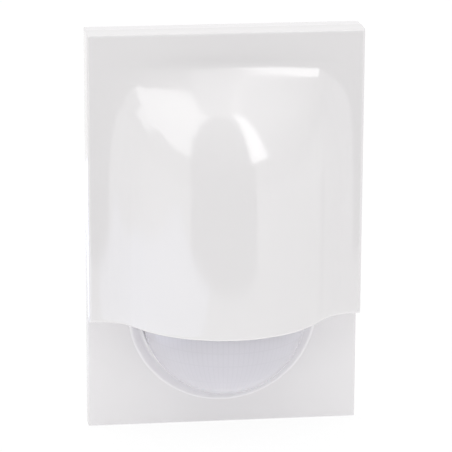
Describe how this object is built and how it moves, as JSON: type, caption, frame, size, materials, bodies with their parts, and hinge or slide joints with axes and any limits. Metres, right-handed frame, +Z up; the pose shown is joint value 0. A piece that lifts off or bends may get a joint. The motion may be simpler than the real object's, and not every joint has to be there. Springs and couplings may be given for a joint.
{
  "type": "motion sensor light switch",
  "caption": "Surface wall switch with a motion sensor: white moulded hood with a bell-shaped bulge over a milky domed lens on a flat plate.",
  "frame": {"origin": "centre of the plate's rear face, which lies on the wall", "axes": "+X to the right seen from the front, +Y into the wall, +Z up; the front faces -Y"},
  "size_m": [0.08, 0.0337, 0.12],
  "materials": {
    "hood_white": "gloss",
    "plate_white": "gloss",
    "lens_milk": "satin",
    "ring_clear": "gloss",
    "seal_rubber": "matte",
    "grommet_rubber": "matte",
    "board_green": "satin",
    "steel": "satin",
    "dial_white": "satin",
    "dial_blue": "satin",
    "relay_case_blue": "gloss",
    "black_plastic": "satin",
    "bobbin_plastic": "satin",
    "winding_copper": "satin",
    "contact_brass": "satin",
    "terminal_grey": "satin",
    "capacitor_yellow": "satin",
    "capacitor_sleeve": "gloss",
    "varistor_blue": "satin",
    "resistor_beige": "satin",
    "holder_black": "matte",
    "window_dark": "gloss",
    "photocell_tan": "gloss",
    "led_red": "gloss"
  },
  "bodies": {
    "base": {"base_plate": "plate_white", "board_screws": "steel", "cable_grommet": "grommet_rubber", "controller_chip": "black_plastic", "daylight_sensor": "photocell_tan", "detector_holder": "holder_black", "film_capacitor": "capacitor_yellow", "fuse": "black_plastic", "lens_dome": "lens_milk", "lens_ring": "ring_clear", "lens_seal": "seal_rubber", "light_dial_body": "dial_blue", "main_board": "board_green", "pir_sensor_centre": "steel", "pir_sensor_left": "steel", "pir_sensor_right": "steel", "pir_windows": "window_dark", "range_dial_body": "dial_blue", "rectifier": "black_plastic", "relay_base": "black_plastic", "relay_bobbin": "bobbin_plastic", "relay_case": "relay_case_blue", "relay_fixed_contact": "contact_brass", "relay_winding": "winding_copper", "relay_yoke": "steel", "resistors": "resistor_beige", "round_capacitors": "capacitor_sleeve", "status_led": "led_red", "terminal_block": "terminal_grey", "terminal_clamps": "contact_brass", "terminal_screws": "steel", "time_dial_body": "dial_blue", "varistor": "varistor_blue", "wall_gasket": "seal_rubber"},
    "hood": {"front_hood": "hood_white"},
    "time_dial": {"time_dial": "dial_white"},
    "light_dial": {"light_dial": "dial_white"},
    "range_dial": {"range_dial": "dial_white"},
    "armature": {"relay_armature": "steel", "relay_contact_spring": "contact_brass"}
  },
  "joints": [
    {"name": "hood_lift", "type": "slide", "parent": "base", "child": "hood", "axis": [0, -1, 0], "range_m": [0, 0.045]},
    {"name": "time_turn", "type": "hinge", "parent": "base", "child": "time_dial", "pos_m": [-0.0235, -0.0093, 0.0115], "axis": [0, -1, 0], "range_deg": [-135, 135]},
    {"name": "light_turn", "type": "hinge", "parent": "base", "child": "light_dial", "pos_m": [-0.012, -0.0093, 0.0115], "axis": [0, -1, 0], "range_deg": [-135, 135]},
    {"name": "range_turn", "type": "hinge", "parent": "base", "child": "range_dial", "pos_m": [-0.0005, -0.0093, 0.0115], "axis": [0, -1, 0], "range_deg": [-135, 135]},
    {"name": "armature_tip", "type": "hinge", "parent": "base", "child": "armature", "pos_m": [0.0171, -0.01545, 0.0158], "axis": [0, 0, -1], "range_deg": [0, 3.6], "stiffness_Nm_per_rad": 0.0002, "springref_deg": -8.59}
  ]
}
